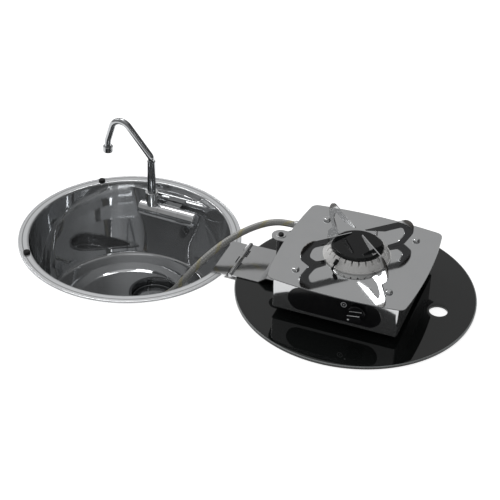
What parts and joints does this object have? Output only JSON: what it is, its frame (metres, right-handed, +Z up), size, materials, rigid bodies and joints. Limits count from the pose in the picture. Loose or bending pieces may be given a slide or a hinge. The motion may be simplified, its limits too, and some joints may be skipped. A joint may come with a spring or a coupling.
{
  "type": "hob and sink combination",
  "caption": "Round steel inset sink with a folding tap, and a hinged black glass lid that carries a gas burner with pan supports, control knob, push igniter and gas hose.",
  "frame": {"origin": "middle of the sink's round rim, on the plane of the worktop that it is set into", "axes": "+X from the sink towards the opened lid, +Y to the back where the tap is, +Z up"},
  "size_m": [0.831, 0.4262, 0.3837],
  "materials": {
    "polished_steel": "mirror polished",
    "satin_steel": "satin",
    "chrome": "polished",
    "black_glass": "gloss, back-printed black",
    "burner_aluminium": "matt cast",
    "black_enamel": "gloss enamel",
    "black_plastic": "satin",
    "black_rubber": "matt",
    "brass": "machined",
    "braided_hose": "grey braid with yellow flecks"
  },
  "bodies": {
    "sink": {"sink_bowl": "polished_steel", "rim_gasket": "black_rubber", "rim_bumpers": "black_rubber", "drain_cup": "polished_steel", "drain_seal": "black_rubber", "drain_backnut": "black_plastic", "drain_strainer": "polished_steel", "drain_washer": "black_rubber", "drain_tail": "black_plastic", "drain_nut": "black_plastic", "tap_body": "chrome", "tap_gasket": "black_rubber", "tap_wall_nut": "brass", "hinge_leaf_sink": "satin_steel", "hinge_pin": "satin_steel", "gland_body": "brass", "gland_seal_inner": "black_rubber", "gland_seal_outer": "black_rubber", "gland_nut": "brass", "hose_ferrule_sink": "satin_steel", "gas_hose": "braided_hose"},
    "tap_head": {"tap_head": "chrome", "spout_collar": "chrome"},
    "spout": {"spout_riser": "chrome", "spout_tube": "chrome", "aerator_ring": "chrome", "aerator_insert": "black_plastic"},
    "water_knob": {"water_knob": "chrome", "water_spindle": "satin_steel"},
    "lid": {"glass_lid": "black_glass", "hinge_leaf_lid": "satin_steel", "lid_spacers": "black_plastic", "hob_case": "polished_steel", "control_panel": "black_plastic", "burner_carrier": "satin_steel", "top_plate": "satin_steel", "plate_screws": "satin_steel", "burner_base": "burner_aluminium", "burner_crown": "burner_aluminium", "burner_cap": "black_enamel", "injector": "brass", "spark_electrode": "black_enamel", "thermocouple": "satin_steel", "pan_support_front_left": "satin_steel", "pan_support_front_right": "satin_steel", "pan_support_back_left": "satin_steel", "pan_support_back_right": "satin_steel", "gas_valve": "brass", "supply_pipe": "brass", "burner_pipe": "brass", "gas_inlet": "brass", "igniter_body": "satin_steel", "igniter_nut": "satin_steel", "hose_ferrule_hob": "satin_steel"},
    "valve_spindle": {"valve_spindle": "satin_steel"},
    "gas_knob": {"gas_knob": "black_plastic"},
    "igniter_button": {"igniter_button": "black_plastic"}
  },
  "joints": [
    {"name": "lid_hinge", "type": "hinge", "parent": "sink", "child": "lid", "pos_m": [0.212, 0, 0.0065], "axis": [0, -1, 0], "range_deg": [0, 130], "deforming": ["gas_hose"]},
    {"name": "tap_fold", "type": "hinge", "parent": "sink", "child": "tap_head", "pos_m": [0.00497, 0.14221, -0.0338], "axis": [0.9994, -0.0349, 0], "range_deg": [0, 95]},
    {"name": "spout_swivel", "type": "hinge", "parent": "tap_head", "child": "spout", "pos_m": [-0.02272, 0.14318, 0], "axis": [0, 0, 1], "range_deg": [0, 180]},
    {"name": "water_turn", "type": "hinge", "parent": "sink", "child": "water_knob", "pos_m": [0.00497, 0.14221, -0.0338], "axis": [0.9994, -0.0349, 0], "range_deg": [0, 180]},
    {"name": "gas_knob_push", "type": "slide", "parent": "lid", "child": "valve_spindle", "axis": [0, 1, 0], "range_m": [0, 0.003], "stiffness_N_per_m": 800, "springref_m": -0.004},
    {"name": "gas_knob_turn", "type": "hinge", "parent": "valve_spindle", "child": "gas_knob", "pos_m": [0.4612, -0.12, 0.049], "axis": [0, -1, 0], "range_deg": [-90, 90]},
    {"name": "igniter_push", "type": "slide", "parent": "lid", "child": "igniter_button", "axis": [0, 0, -1], "range_m": [0, 0.003], "stiffness_N_per_m": 600, "springref_m": -0.004}
  ]
}
